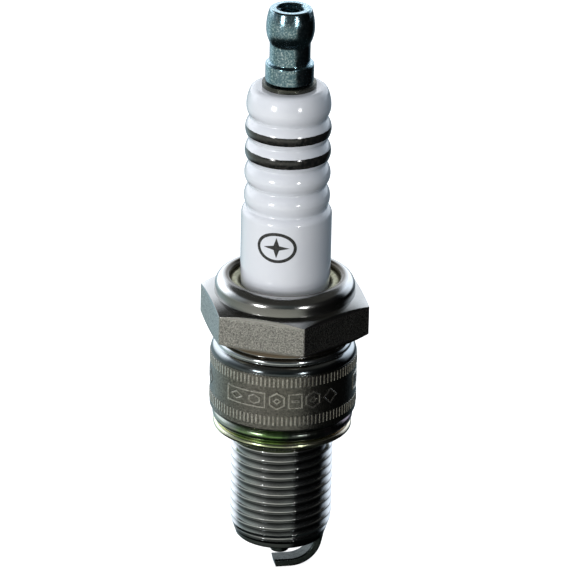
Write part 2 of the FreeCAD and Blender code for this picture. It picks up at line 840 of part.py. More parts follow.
def gasket():
    """A sheet ring folded into a large roll over a small one, loose in the thread's undercut."""
    body = new_body("gasket")
    sheet = S.gasket_sheet
    big = S.gasket_upper_height / 2
    big_across = S.barrel - S.gasket_setback - big
    fold_top = -S.gasket_upper_height
    fold_bottom = fold_top - S.gasket_fold_gap
    small = (S.gasket_height + fold_bottom) / 2
    small_across = S.barrel - S.gasket_lower_setback - small
    small_level = -S.gasket_height + small
    fold = S.thread + S.gasket_fold_clearance
    fold_radius = sheet + S.gasket_fold_gap / 2
    fold_level = (fold_top + fold_bottom) / 2
    start = S.thread + S.gasket_top_clearance
    seat = S.thread + S.gasket_seat_clearance
    end = S.thread - S.gasket_catch
    revolve(body, "gasket_folding", [
        (start, 0),
        (big_across, 0),
        (big_across + big, -big, -big),
        (big_across, fold_top, -big),
        (fold, fold_top),
        (fold, fold_bottom),
        (small_across, fold_bottom),
        (small_across + small, small_level, -small),
        (small_across, -S.gasket_height, -small),
        (seat, -S.gasket_height),
        (end, -S.gasket_height + S.gasket_catch_rise),
        (end, -S.gasket_height + S.gasket_catch_rise + sheet),
        (seat, -S.gasket_height + sheet),
        (small_across, -S.gasket_height + sheet),
        (small_across, fold_bottom - sheet),
        (fold, fold_bottom - sheet),
        (fold - fold_radius, fold_level, -fold_radius),
        (fold, fold_top + sheet, -fold_radius),
        (big_across, fold_top + sheet),
        (big_across + big - sheet, -big, big - sheet),
        (big_across, -sheet, big - sheet),
        (start, -sheet),
    ])
    return body


# --- the plug ----------------------------------------------------------------------------------


def check(document):
    for item in document.Objects:
        if {"Invalid", "Error"} & set(item.State):
            raise RuntimeError(f"{item.Label} didn't compute: {item.State}")


def export(parts):
    os.makedirs("parts", exist_ok=True)
    for body in parts:
        shape = body.Shape
        if shape.isNull() or not shape.isValid() or len(shape.Solids) != 1:
            raise RuntimeError(f"{body.Label} isn't one valid solid")
        shape.exportStep(f"parts/{body.Label}.step")


doc = FreeCAD.newDocument("spark_plug")
S = Sheet(doc, SIZES)
derive(S)
plug = [
    terminal_nut(),
    terminal_stud(),
    insulator(),
    upper_glass_seal(),
    plain_slug("resistor", S.lower_seal_top, S.resistor_top),
    plain_slug("lower_glass_seal", S.head_top, S.lower_seal_top),
    center_electrode(),
    copper_core(),
    metal_shell(),
    ground_electrode(),
    gasket(),
    packing_ring("upper_packing_ring", S.upper_ring_bottom, S.upper_ring_level),
    talc_filling(),
    packing_ring("lower_packing_ring", S.flange_top, S.lower_ring_level),
    seat_packing_washer(),
]
doc.recompute()
check(doc)
export(plug)
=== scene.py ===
# %% [markdown]
# A spark plug, finished for its portrait.
#
# The metal and ceramic parts come from the CAD frame with their true shapes. This lesson gives
# each of them its finish, adds the small marks that are rolled and printed on the real plug, and
# builds the little studio that shows it: a floor, a camera and some lights. Lengths on the plug
# are given in millimetres and turned into metres where Blender needs them, and those of the
# studio are in metres.

# %% Load the frame
from math import cos, pi, radians, sin

import bpy
from mathutils import Matrix, Vector


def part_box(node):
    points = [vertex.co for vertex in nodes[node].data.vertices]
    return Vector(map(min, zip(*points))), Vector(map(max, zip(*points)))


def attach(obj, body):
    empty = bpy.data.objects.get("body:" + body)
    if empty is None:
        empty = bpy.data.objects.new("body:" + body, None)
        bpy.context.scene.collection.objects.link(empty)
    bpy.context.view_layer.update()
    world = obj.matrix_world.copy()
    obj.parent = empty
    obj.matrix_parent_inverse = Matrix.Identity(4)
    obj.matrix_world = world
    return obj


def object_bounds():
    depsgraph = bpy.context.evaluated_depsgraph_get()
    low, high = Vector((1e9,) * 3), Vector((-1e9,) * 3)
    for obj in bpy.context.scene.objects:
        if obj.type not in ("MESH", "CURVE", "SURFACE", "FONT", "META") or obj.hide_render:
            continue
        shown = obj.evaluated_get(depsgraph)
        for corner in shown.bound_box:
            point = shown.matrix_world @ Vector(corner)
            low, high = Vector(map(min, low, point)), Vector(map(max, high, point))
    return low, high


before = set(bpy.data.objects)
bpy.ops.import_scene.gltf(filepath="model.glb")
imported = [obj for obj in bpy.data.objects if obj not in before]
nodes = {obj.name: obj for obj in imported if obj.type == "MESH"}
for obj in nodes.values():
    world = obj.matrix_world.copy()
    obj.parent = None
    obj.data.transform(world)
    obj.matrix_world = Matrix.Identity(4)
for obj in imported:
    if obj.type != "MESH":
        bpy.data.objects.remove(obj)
cad_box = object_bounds()

MM = 0.001
print("parts in the frame:", ", ".join(sorted(nodes)))

# %% [markdown]
# The frame is imported with every part selected. An operator works on all that is selected, so
# the lesson starts from an empty selection.

# %% Start with nothing selected
bpy.ops.object.select_all(action="DESELECT")
print("selected now:", len(bpy.context.selected_objects))

# %% [markdown]
# Heights are measured from the face of the gasket that seals against the cylinder head, and up is
# towards the terminal. The shell carries many surfaces on one piece of steel, so its finish tells
# them apart by height. The radii are those that the marks and the gasket's colours go by.

# %% Sizes on the plug
BARREL_RADIUS, INSULATOR_RADIUS, GASKET_RADIUS = 9.9, 6.08, 9.8
low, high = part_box("metal_shell")
print(f"the shell runs from {low.z / MM:.2f} to {high.z / MM:.2f} mm")

# %% [markdown]
# Finishes are built from shader nodes, and three small helpers keep the recipes short. The first
# starts a finish from plain numbers, set on the shader itself. The second adds a node and feeds
# it. The third wires what changes over the surface into the shader.

# %% Helpers: start a finish, add a node
def start_finish(name, **numbers):
    finish = bpy.data.materials.new(name)
    finish.use_nodes = True
    shader = finish.node_tree.nodes["Principled BSDF"]
    for socket, number in numbers.items():
        shader.inputs[socket.replace("_", " ")].default_value = number
    return finish


def add(finish, kind, feeds, **settings):
    """Adds a node, feeds it numbers or other nodes' outputs, and gives its first output."""
    node = finish.node_tree.nodes.new("ShaderNode" + kind)
    for name, value in settings.items():
        setattr(node, name, value)
    for socket, feed in feeds.items():
        if isinstance(feed, bpy.types.NodeSocket):
            finish.node_tree.links.new(feed, node.inputs[socket])
        else:
            node.inputs[socket].default_value = feed
    return node.outputs[0]


def wire(finish, **feeds):
    tree = finish.node_tree
    for socket, feed in feeds.items():
        tree.links.new(feed, tree.nodes["Principled BSDF"].inputs[socket.replace("_", " ")])


# %% [markdown]
# Nearly every recipe asks where it is on the plug. The place is read in millimetres from Object
# coordinates, so a pattern stays on its piece when the piece moves. Grain is noise at that place.
# Turned steel carries rings, so one helper reads the place as a lathe does: round, and along.

# %% Helpers: place, grain and height
def maths(finish, operation, a, b=0.0):
    return add(finish, "Math", {0: a, 1: b}, operation=operation)


def place(finish, stretch=(1, 1, 1)):
    """The place on the plug in millimetres, squeezed by stretch on each axis."""
    spot = finish.node_tree.nodes.new("ShaderNodeTexCoord").outputs["Object"]
    return add(finish, "VectorMath", {0: spot, 1: [s / MM for s in stretch]}, operation="MULTIPLY")


def grain(finish, size, detail=2.0, where=None):
    """A soft random value from 0 to 1 that changes over about size millimetres."""
    return add(finish, "TexNoise",
               {"Vector": where or place(finish), "Scale": 1 / size, "Detail": detail})


def from_axis(finish):
    """How far from the plug's axis, in millimetres."""
    flat = place(finish, (1, 1, 0))
    return add(finish, "VectorMath", {0: flat}, operation="LENGTH").node.outputs["Value"]


def height_of(finish):
    """How high on the plug, in millimetres."""
    return add(finish, "SeparateXYZ", {0: place(finish)}).node.outputs["Z"]


def lathe_place(finish, around, along):
    """A place that changes slowly round the plug and fast along it, or the other way about.

    Noise read here makes rings like a lathe tool's, or upright scratches, with no join."""
    outward = add(finish, "VectorMath", {0: place(finish, (1, 1, 0))}, operation="NORMALIZE")
    turned = add(finish, "VectorMath", {0: outward, "Scale": around}, operation="SCALE")
    travel = maths(finish, "ADD", height_of(finish), from_axis(finish))
    travel = maths(finish, "MULTIPLY", travel, along)
    upright = add(finish, "CombineXYZ", {"Z": travel})
    return add(finish, "VectorMath", {0: turned, 1: upright}, operation="ADD")


# %% [markdown]
# A ramp turns a value into colours, and zones are a ramp over height: that is how one piece of
# steel gets a bright lip, a matt hexagon and a dark barrel. Bump gives relief too fine to model.

# %% Helpers: ramps, height zones and bumps
def grey(value):
    return (value, value, value, 1)


def ramp(finish, value, stops, interpolation="LINEAR"):
    """Turns a value from 0 to 1 into the colours of stops, each (value, colour or grey)."""
    output = add(finish, "ValToRGB", {"Fac": value})
    line = output.node.color_ramp
    line.interpolation = interpolation
    while len(line.elements) < len(stops):
        line.elements.new(0.5)
    for element, (position, colour) in zip(line.elements, stops):
        element.position = position
        element.color = colour if isinstance(colour, tuple) else grey(colour)
    return output


def zones(finish, stops, wobble=None, interpolation="LINEAR"):
    """Colours by height: stops are (height in mm, colour or grey), from the lowest up."""
    height = height_of(finish)
    if wobble:
        height = maths(finish, "ADD", height, wobble)
    bottom, top = stops[0][0], stops[-1][0]
    level = add(finish, "MapRange", {"Value": height, "From Min": bottom, "From Max": top})
    parts = [((z - bottom) / (top - bottom), colour) for z, colour in stops]
    return ramp(finish, level, parts, interpolation)


MIX_FACTOR, MIX_A, MIX_B, MIX_RESULT = 0, 6, 7, 2  # sockets of the Mix node, for colours


def blend(finish, value, a, b, mode="MIX"):
    """Colour a where value is 0, and where it is 1 colour b, or a times b."""
    node = finish.node_tree.nodes.new("ShaderNodeMix")
    node.data_type, node.blend_type = "RGBA", mode
    for socket, feed in zip((MIX_FACTOR, MIX_A, MIX_B), (value, a, b)):
        if isinstance(feed, bpy.types.NodeSocket):
            finish.node_tree.links.new(feed, node.inputs[socket])
        else:
            node.inputs[socket].default_value = feed
    return node.outputs[MIX_RESULT]


def bump(finish, height, depth, edge=0.0):
    """Small relief, depth millimetres high where height goes from 0 to 1.

    With an edge, sharp corners catch the light as if worn to that radius in millimetres."""
    feeds = {"Height": height, "Distance": depth * MM, "Strength": 1.0}
    if edge:
        feeds["Normal"] = add(finish, "Bevel", {"Radius": edge * MM}, samples=4)
    return add(finish, "Bump", feeds)


def dress(finish, *names):
    """Gives a finish to CAD parts."""
    for name in names:
        nodes[name].data.materials.clear()
        nodes[name].data.materials.append(finish)
    print(f"{finish.name}: on {', '.join(names)}")


# %% [markdown]
# The terminal nut is turned steel with bright zinc on it. Zinc plate is a mirror with a faint
# blue cast, broken by tiny grains that catch the light, so the recipe is a blue-grey metal whose
# roughness and relief follow two sizes of grain. A thin clear coat gives the sharp glints.

# %% Bright zinc on the terminal nut
zinc = start_finish("bright_zinc", Metallic=1.0, Coat_Weight=0.7, Coat_Roughness=0.08)
fine = grain(zinc, 0.24, 3.0)
coarse = grain(zinc, 1.1, 2.0)
wire(zinc,
     Base_Color=ramp(zinc, fine, [(0.36, (0.14, 0.28, 0.35, 1)), (0.55, (0.32, 0.50, 0.57, 1)),
                                  (0.68, (0.76, 0.92, 0.98, 1))]),
     Roughness=ramp(zinc, coarse, [(0.35, 0.13), (0.65, 0.22)]),
     Normal=bump(zinc, fine, 0.011, 0.1))
dress(zinc, "terminal_nut")

# %% [markdown]
# The stud is plain plated steel, duller and a little olive, with fine rings from turning.

# %% Dull plate on the stud
stud_steel = start_finish("stud_plate", Metallic=1.0)
rings = grain(stud_steel, 1.0, 2.0, lathe_place(stud_steel, 1.5, 9.0))
wire(stud_steel,
     Base_Color=ramp(stud_steel, rings, [(0.3, (0.06, 0.065, 0.055, 1)),
                                         (0.7, (0.17, 0.17, 0.145, 1))]),
     Roughness=ramp(stud_steel, grain(stud_steel, 0.3), [(0.3, 0.22), (0.7, 0.42)]),
     Normal=bump(stud_steel, rings, 0.01))
dress(stud_steel, "terminal_stud")

# %% [markdown]
# The insulator is white alumina under a clear glaze. The glaze is glass, so the white body gets a
# coat on top, and a very shallow waviness makes reflections swim as they do on fired glaze. Two
# black rings are fired onto the lower half of two ribs: they are told by height, and a little
# wobble keeps their edges from looking cut by a machine.

# %% White glaze with two black rings
BLACK, SMOKE = (0.008, 0.009, 0.009, 1), (0.05, 0.045, 0.04, 1)
WHITE, IVORY = (0.775, 0.80, 0.86, 1), (0.75, 0.78, 0.845, 1)
LOWER_RING, UPPER_RING = (39.10, 40.45), (42.32, 43.55)
EDGE_WOBBLE = 0.12
glaze = start_finish("white_glaze", IOR=1.58, Coat_Weight=1.0, Coat_Roughness=0.03)
edge_wobble = maths(glaze, "SUBTRACT", grain(glaze, 0.8), 0.5)
edge_wobble = maths(glaze, "MULTIPLY", edge_wobble, EDGE_WOBBLE)
bands = [(38.0, 0.0), (LOWER_RING[0], 1.0), (LOWER_RING[1], 0.0),
         (UPPER_RING[0], 1.0), (UPPER_RING[1], 0.0), (60.0, 0.0)]
black_rings = zones(glaze, bands, edge_wobble, "CONSTANT")
body = ramp(glaze, grain(glaze, 3.0), [(0.3, IVORY), (0.7, WHITE)])
black = ramp(glaze, grain(glaze, 0.35, 4.0), [(0.45, BLACK), (0.8, SMOKE)])
wire(glaze,
     Base_Color=blend(glaze, black_rings, body, black),
     Roughness=ramp(glaze, grain(glaze, 1.2), [(0.3, 0.12), (0.7, 0.2)]),
     Normal=bump(glaze, grain(glaze, 2.5, 1.0), 0.006))
dress(glaze, "insulator")

# %% [markdown]
# The shell is one piece of nickel-plated steel with many surfaces. The rolled lip, the beads and
# the thread are bright, the six flats show the fine grain of cold-formed steel, the neck is tinted
# by the heat that shrank it, and the barrel is a dark satin. The step under the beads and the side
# of the lip are painted darker: painted shade. The first table gives each surface its heights and
# its colour at the bottom and at the top, from the lowest up.

# %% Colours of the shell by height
SURFACES = {
    "end": (-16.15, -15.0, (0.05, 0.06, 0.06, 1), (0.10, 0.11, 0.11, 1)),
    "thread": (-14.4, 2.8, (0.78, 0.80, 0.82, 1), (0.80, 0.81, 0.82, 1)),
    "barrel": (2.9, 11.0, (0.29, 0.285, 0.26, 1), (0.31, 0.30, 0.27, 1)),
    # the step under the beads: painted shade, a dark band where the shell turns down
    "step": (11.1, 11.6, (0.12, 0.14, 0.15, 1), (0.14, 0.16, 0.17, 1)),
    "beads": (12.0, 13.1, (0.62, 0.66, 0.68, 1), (0.66, 0.70, 0.72, 1)),
    "neck": (13.3, 14.5, (0.24, 0.19, 0.14, 1), (0.20, 0.16, 0.12, 1)),
    "hexagon": (14.8, 18.7, (0.62, 0.61, 0.58, 1), (0.62, 0.61, 0.58, 1)),
    "shoulder": (18.9, 19.3, (0.66, 0.66, 0.65, 1), (0.48, 0.48, 0.47, 1)),
    # the side of the lip: painted shade, darker than the lip's top
    "lip_side_painted_shade": (20.6, 20.6, (0.34, 0.34, 0.33, 1), (0.34, 0.34, 0.33, 1)),
    "lip_top": (21.1, 21.95, (0.84, 0.84, 0.83, 1), (0.86, 0.86, 0.86, 1)),
}
shell = start_finish("nickel_plate", Metallic=1.0)
stops = []
for bottom, top, low_colour, high_colour in SURFACES.values():
    stops += [(bottom, low_colour), (top, high_colour)]
plain = zones(shell, stops)
print("surfaces of the shell:", ", ".join(SURFACES))

# %% [markdown]
# Only the barrel and the hexagon are matt: there the plate lies over coarse steel, so specks
# darken the colour, raise the relief and spread the reflections.

# %% Matt and bright parts of the shell
LIP_TOP = SURFACES["lip_top"][1]
speck = grain(shell, 0.16, 3.0)
cloud = grain(shell, 1.6, 3.0)
spots = ramp(shell, speck, [(0.36, 0.40), (0.5, 0.85), (0.62, 1.25)])
matt = zones(shell, [(2.8, 0.0), (2.9, 1.0), (11.0, 1.0), (11.1, 0.0), (14.6, 0.0), (14.9, 1.0),
                     (18.5, 1.0), (18.9, 0.0), (LIP_TOP, 0.0)])
gloss = zones(shell, [(2.8, 0.08), (2.9, 0.20), (11.0, 0.20), (11.1, 0.10), (14.6, 0.10),
                      (14.9, 0.25), (18.6, 0.25), (18.9, 0.14), (LIP_TOP, 0.12)])
relief = ramp(shell, matt, [(0.0, 0.12), (1.0, 1.0)])
print("specks of about 0.16 mm on the barrel and the hexagon")

# %% [markdown]
# Two places are told by their distance from the axis as well. A ring round the mouth of the lip is
# painted dark: painted shade where the insulator goes into the lip. The grooves of the thread are
# painted darker than its crests: painted shade. Edges catch the light as if worn a little.

# %% Painted shade at the mouth and in the thread
# the first colour is painted shade for the ring round the mouth of the lip
MOUTH_SHADE = (0.09, 0.08, 0.065, 1)
MOUTH_INSIDE, MOUTH_OUTSIDE = 7.9, 8.6
ROOT, CREST = 6.2, 6.9


def between_radii(inner, outer):
    """0 at the inner radius, 1 at the outer one."""
    return add(shell, "MapRange",
               {"Value": from_axis(shell), "From Min": inner, "From Max": outer})


# painted shade: a dark ring round the mouth of the lip, where the insulator goes in
near_mouth = maths(shell, "SUBTRACT", 1.0, between_radii(MOUTH_INSIDE, MOUTH_OUTSIDE))
on_lip = zones(shell, [(20.0, 0.0), (20.6, 1.0), (22.0, 1.0)])
mouth_painted_shade = maths(shell, "MULTIPLY", near_mouth, on_lip)
plain = blend(shell, mouth_painted_shade, plain, MOUTH_SHADE)
# painted shade: the roots of the thread are darker than its crests
groove_painted_shade = ramp(shell, between_radii(ROOT, CREST), [(0.0, (0.20, 0.21, 0.21, 1)),
                                                 (0.6, (0.80, 0.81, 0.81, 1)), (1.0, 1.0)])
threaded = zones(shell, [(-14.6, 0.0), (-14.2, 1.0), (1.0, 1.0), (1.4, 0.0), (2.0, 0.0)])
plain = blend(shell, threaded, plain, groove_painted_shade, "MULTIPLY")
wire(shell,
     Base_Color=blend(shell, matt, plain, blend(shell, 1.0, plain, spots, "MULTIPLY")),
     Roughness=maths(shell, "ADD", gloss, maths(shell, "MULTIPLY", cloud, 0.10)),
     Normal=bump(shell, maths(shell, "MULTIPLY", speck, relief), 0.035, 0.07))
dress(shell, "metal_shell")

# %% [markdown]
# The gasket is folded from thin strip and dipped in yellow chromate. The film is so thin that it
# shows colours like oil on water. The lower roll is mostly pale yellow. Round the upper one it
# goes from clear through green and grey to pink, from one side to the other, and a cloud of noise
# shifts the borders: the green and the pink are the film's own colours, and the dark grey right of
# the middle is painted shade. Upright scratches run over it all.

# %% Yellow chromate on the gasket
chromate = start_finish("yellow_chromate", Metallic=1.0)
film = grain(chromate, 2.4, 2.0)
scratch = grain(chromate, 1.0, 3.0, lathe_place(chromate, 60.0, 0.4))
hue = zones(chromate, [(0.0, (0.92, 0.92, 0.66, 1)), (1.05, (0.98, 0.98, 0.76, 1)),
                       (1.25, (0.46, 0.50, 0.46, 1)), (2.85, (0.50, 0.54, 0.50, 1))])
across = add(chromate, "SeparateXYZ", {0: place(chromate)})
sideways = add(chromate, "MapRange", {"Value": across, "From Min": -GASKET_RADIUS,
                                      "From Max": GASKET_RADIUS})
shift = maths(chromate, "MULTIPLY", maths(chromate, "SUBTRACT", film, 0.5), 0.5)
drift = maths(chromate, "ADD", sideways, shift)
# the green and the pink are the film's own colours; the dark grey right of the middle is painted
# shade
film_tint_and_painted_shade = ramp(chromate, drift, [(0.14, (1.0, 1.0, 0.97, 1)), (0.34, (0.42, 0.70, 0.26, 1)),
                              (0.50, (0.50, 0.80, 0.34, 1)), (0.62, (0.22, 0.24, 0.22, 1)),
                              (0.80, (0.40, 0.38, 0.40, 1)), (0.92, (1.0, 0.76, 0.92, 1))])
strength = zones(chromate, [(0.0, 0.4), (1.05, 0.4), (1.25, 1.0), (2.85, 1.0)])
wire(chromate,
     Base_Color=blend(chromate, strength, hue, film_tint_and_painted_shade, "MULTIPLY"),
     Roughness=ramp(chromate, scratch, [(0.3, 0.14), (0.7, 0.26)]),
     Normal=bump(chromate, scratch, 0.012))
dress(chromate, "gasket")

# %% [markdown]
# The electrodes are nickel alloy, cut from wire. The grain runs lengthwise, as the wire was drawn,
# and firing leaves them a dark grey.

# %% Nickel alloy on the electrodes
alloy = start_finish("nickel_alloy", Metallic=1.0)
drawn = grain(alloy, 0.25, 3.0, place(alloy, (0.3, 1, 0.6)))
wire(alloy,
     Base_Color=ramp(alloy, drawn, [(0.3, (0.018, 0.024, 0.024, 1)),
                                    (0.7, (0.055, 0.068, 0.065, 1))]),
     Roughness=ramp(alloy, grain(alloy, 0.5), [(0.3, 0.2), (0.7, 0.34)]),
     Normal=bump(alloy, drawn, 0.012, 0.12))
dress(alloy, "center_electrode", "ground_electrode")

# %% [markdown]
# What is sealed inside the shell is never seen, but it is a real part too and is given its own
# simple finish: copper, packed talc, glass with copper powder, a carbon mix and packing steel.
# The upper packing ring shows as a thin yellowish ring inside the lip.

# %% Finishes of the inner parts
def speckled(name, dark, light, size, relief, **numbers):
    made = start_finish(name, **numbers)
    value = grain(made, size, 3.0)
    wire(made,
         Base_Color=ramp(made, value, [(0.3, dark), (0.7, light)]),
         Normal=bump(made, value, relief))
    return made


dress(speckled("packing_steel", (0.22, 0.21, 0.13, 1), (0.46, 0.45, 0.31, 1), 0.5, 0.02,
               Metallic=1.0, Roughness=0.34),
      "upper_packing_ring", "lower_packing_ring", "seat_packing_washer")
dress(speckled("drawn_copper", (0.62, 0.28, 0.16, 1), (0.82, 0.44, 0.28, 1), 0.6, 0.01,
               Metallic=1.0, Roughness=0.3), "copper_core")
dress(speckled("packed_talc", (0.66, 0.62, 0.54, 1), (0.82, 0.80, 0.74, 1), 0.2, 0.04,
               Roughness=0.9), "talc_filling")
dress(speckled("copper_glass", (0.24, 0.13, 0.09, 1), (0.42, 0.26, 0.18, 1), 0.3, 0.02,
               Roughness=0.35), "lower_glass_seal", "upper_glass_seal")
dress(speckled("carbon_mix", (0.02, 0.02, 0.02, 1), (0.07, 0.07, 0.07, 1), 0.25, 0.03,
               Roughness=0.7), "resistor")

# %% [markdown]
# The barrel is marked by a knurled roller, which leaves two rows of short upright ticks. One
# tick is modelled: a slim block whose outer edges are bevelled, sunk a little into the barrel. The
# Spin tool then copies it round the plug without joining the copies.

# %% One tick, spun into a row
TICKS, TICK_WIDTH, TICK_BEVEL = 105, 0.25, 0.03
PROUD, SUNK = 0.06, 0.05
UPPER_ROW, LOWER_ROW = (9.49, 10.81), (3.92, 5.25)


def outer_only(piece, reach):
    """In edit mode, selects only the faces that lie further out than reach millimetres."""
    bpy.ops.mesh.select_all(action="DESELECT")
    bpy.ops.object.mode_set(mode="OBJECT")
    for face in piece.data.polygons:
        face.select = -face.center.y > reach * MM
    bpy.ops.object.mode_set(mode="EDIT")


def tick_row(name, bottom, top, finish):
    deep = PROUD + SUNK
    middle = BARREL_RADIUS + PROUD - deep / 2
    height = (bottom + top) / 2
    bpy.ops.mesh.primitive_cube_add(size=MM, location=(0, -middle * MM, height * MM),
                                    scale=(TICK_WIDTH, deep, top - bottom))
    row = bpy.context.object
    row.name = row.data.name = name
    bpy.ops.object.transform_apply(location=True, rotation=True, scale=True)
    bpy.ops.object.mode_set(mode="EDIT")
    bpy.ops.mesh.select_mode(type="FACE")
    outer_only(row, middle + deep * 0.4)
    bpy.ops.mesh.bevel(offset=TICK_BEVEL * MM, segments=2, affect="EDGES")
    bpy.ops.mesh.select_all(action="SELECT")
    bpy.ops.mesh.spin(steps=TICKS - 1, angle=2 * pi * (TICKS - 1) / TICKS, dupli=True,
                      center=(0, 0, 0), axis=(0, 0, 1))
    bpy.ops.object.mode_set(mode="OBJECT")
    row.data.materials.append(finish)
    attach(row, "plug")
    row.select_set(False)
    print(f"{name}: {TICKS} ticks, {len(row.data.polygons)} faces")


marks = start_finish("rolled_marks", Metallic=1.0)
fleck = grain(marks, 0.2, 2.0)
wire(marks,
     Base_Color=ramp(marks, fleck, [(0.35, (0.44, 0.42, 0.37, 1)), (0.6, (0.92, 0.90, 0.85, 1))]),
     Roughness=ramp(marks, fleck, [(0.3, 0.36), (0.7, 0.20)]),
     Normal=bump(marks, fleck, 0.02))
tick_row("upper_tick_row", *UPPER_ROW, marks)
tick_row("lower_tick_row", *LOWER_ROW, marks)

# %% [markdown]
# Between the rows the roller leaves a line of outlined shapes. Here they are plain lozenges,
# hexagons and frames, drawn flat as a strip: each starts as a filled circle of four or six
# sides, is stretched to size and inset, and its middle is deleted so that an outline is left. The
# strip is cut by upright planes, every half millimetre, so that it can bend later.

# %% Outlines drawn flat
LINE, THIN_LINE, FINE_LINE = 0.21, 0.17, 0.12
CUT_STEP, CUTS = 0.5, 16
LOZENGE, FRAME, HEXAGON = (4, 0), (4, pi / 4), (6, 0)  # sides and turn
OUTLINES = [  # shape, across, wide, tall, line
    (FRAME, -5.30, 6.0, 2.3, LINE), (LOZENGE, -6.6, 2.2, 1.25, THIN_LINE),
    (HEXAGON, -3.9, 1.9, 1.25, THIN_LINE),
    (HEXAGON, -0.75, 2.5, 2.2, LINE), (LOZENGE, -0.75, 1.2, 0.95, THIN_LINE),
    (FRAME, 1.75, 2.0, 2.2, LINE), (FRAME, 1.75, 1.05, 0.35, FINE_LINE),
    (HEXAGON, 4.25, 2.5, 2.2, LINE), (LOZENGE, 4.25, 1.2, 0.95, THIN_LINE),
    (LOZENGE, 6.95, 2.4, 2.3, LINE)]


def start_flat(name):
    """Adds an empty mesh and enters edit mode, ready for flat shapes that face the front."""
    bpy.ops.mesh.primitive_circle_add(vertices=3, radius=MM, location=(0, 0, 0))
    piece = bpy.context.object
    piece.name = piece.data.name = name
    bpy.ops.object.mode_set(mode="EDIT")
    bpy.ops.mesh.select_mode(type="VERT")
    bpy.ops.mesh.select_all(action="SELECT")
    bpy.ops.mesh.delete(type="VERT")
    return piece


def flat_disc(sides, wide, tall, turn=0):
    """In edit mode, adds a filled disc that faces the front, and selects it alone."""
    bpy.ops.mesh.select_all(action="DESELECT")
    bpy.ops.mesh.primitive_circle_add(vertices=sides, radius=MM, fill_type="NGON",
                                      rotation=(pi / 2, turn, 0))
    bpy.ops.transform.resize(value=(wide / 2, 1, tall / 2), center_override=(0, 0, 0))


def empty_inside(line):
    """In edit mode, leaves only a border of the selected disc, line millimetres wide."""
    bpy.ops.mesh.inset(thickness=line * MM)
    bpy.ops.mesh.delete(type="FACE")


def draw_outline(shape, across, wide, tall, line):
    """In edit mode, adds one outline to the strip, across millimetres from its middle."""
    sides, turn = shape
    reach_across = cos(turn)
    reach_up = cos(turn) if sides == 4 else sin(pi / 3)
    flat_disc(sides, wide / reach_across, tall / reach_up, turn)
    bpy.ops.transform.translate(value=(across * MM, 0, 0))
    empty_inside(line)


def cut_upright(step, cuts):
    """In edit mode, cuts the whole piece by upright planes, cuts of them on each side."""
    for cut in range(-cuts, cuts + 1):
        bpy.ops.mesh.select_all(action="SELECT")
        bpy.ops.mesh.bisect(plane_co=(cut * step * MM, 0, 0), plane_no=(1, 0, 0))


strip = start_flat("barrel_outlines")
bpy.ops.mesh.select_mode(type="FACE")
for outline in OUTLINES:
    draw_outline(*outline)
cut_upright(CUT_STEP, CUTS)
bpy.ops.object.mode_set(mode="OBJECT")
print("flat strip:", len(strip.data.polygons), "faces")

# %% [markdown]
# The flat strip gets its thickness first, and its edges are softened. Then it is rolled to the
# radius of the barrel: Simple Deform bends it about the upright axis by as much as its length asks
# for. Spin copies it, so that it stands three times round the barrel.

# %% Give the strip a thickness and roll it on
BAND_MIDDLE, STRIP_BEVEL, REPEATS = 7.48, 0.025, 3


def roll_round(piece, radius):
    """Bends a flat strip that faces the front round the plug's axis."""
    reach = [v.co.x for v in piece.data.vertices]
    roller = piece.modifiers.new("roll", "SIMPLE_DEFORM")
    roller.deform_method, roller.deform_axis = "BEND", "Z"
    roller.angle = (max(reach) - min(reach)) / (radius * MM)
    bpy.ops.object.modifier_apply(modifier=roller.name)
    piece.location.y = -radius * MM
    bpy.ops.object.transform_apply(location=True, rotation=True, scale=True)


wall = strip.modifiers.new("wall", "SOLIDIFY")
wall.thickness, wall.offset = (PROUD + SUNK) * MM, 1.0
soften = strip.modifiers.new("soften", "BEVEL")
soften.width, soften.segments, soften.limit_method = STRIP_BEVEL * MM, 1, "ANGLE"
for modifier in ("wall", "soften"):
    bpy.ops.object.modifier_apply(modifier=modifier)
strip.location = (0, SUNK * MM, BAND_MIDDLE * MM)
bpy.ops.object.transform_apply(location=True, rotation=True, scale=True)
roll_round(strip, BARREL_RADIUS)
bpy.ops.object.mode_set(mode="EDIT")
bpy.ops.mesh.select_all(action="SELECT")
bpy.ops.mesh.spin(steps=REPEATS - 1, angle=2 * pi * (REPEATS - 1) / REPEATS, dupli=True,
                  center=(0, 0, 0), axis=(0, 0, 1))
bpy.ops.object.mode_set(mode="OBJECT")
strip.data.materials.append(marks)
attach(strip, "plug")
strip.select_set(False)
print("rolled strip:", len(strip.data.polygons), "faces")

# %% [markdown]
# A small sign is printed on the plain length of the insulator. Here it is a four-pointed spark in
# a ring. The ring is a circle, inset and emptied. The spark is a circle of eight points, of which
# every second one is drawn in: those that lie off both axes.

# %% Printed spark sign
SIGN_UP, SIGN_TURN, INK = 28.05, -12.0, 0.03
RING_WIDE, RING_TALL, RING_LINE = 5.5, 4.3, 0.42
SPARK_WIDE, SPARK_TALL, DRAWN_IN = 3.6, 2.9, 0.3
SIGN_STEP, SIGN_CUTS = 0.4, 6
OFF_AXES = 0.5
sign = start_flat("printed_spark")
flat_disc(64, RING_WIDE, RING_TALL)
empty_inside(RING_LINE)
flat_disc(8, SPARK_WIDE, SPARK_TALL)
bpy.ops.object.mode_set(mode="OBJECT")
drawn_in = [v.select and min(abs(v.co.x), abs(v.co.z)) > OFF_AXES * MM
            for v in sign.data.vertices]
for collection in (sign.data.polygons, sign.data.edges, sign.data.vertices):
    collection.foreach_set("select", [False] * len(collection))
for vertex, chosen in zip(sign.data.vertices, drawn_in):
    vertex.select = chosen
bpy.ops.object.mode_set(mode="EDIT")
bpy.ops.transform.resize(value=(DRAWN_IN, 1, DRAWN_IN), center_override=(0, 0, 0))
bpy.ops.mesh.select_mode(type="FACE")
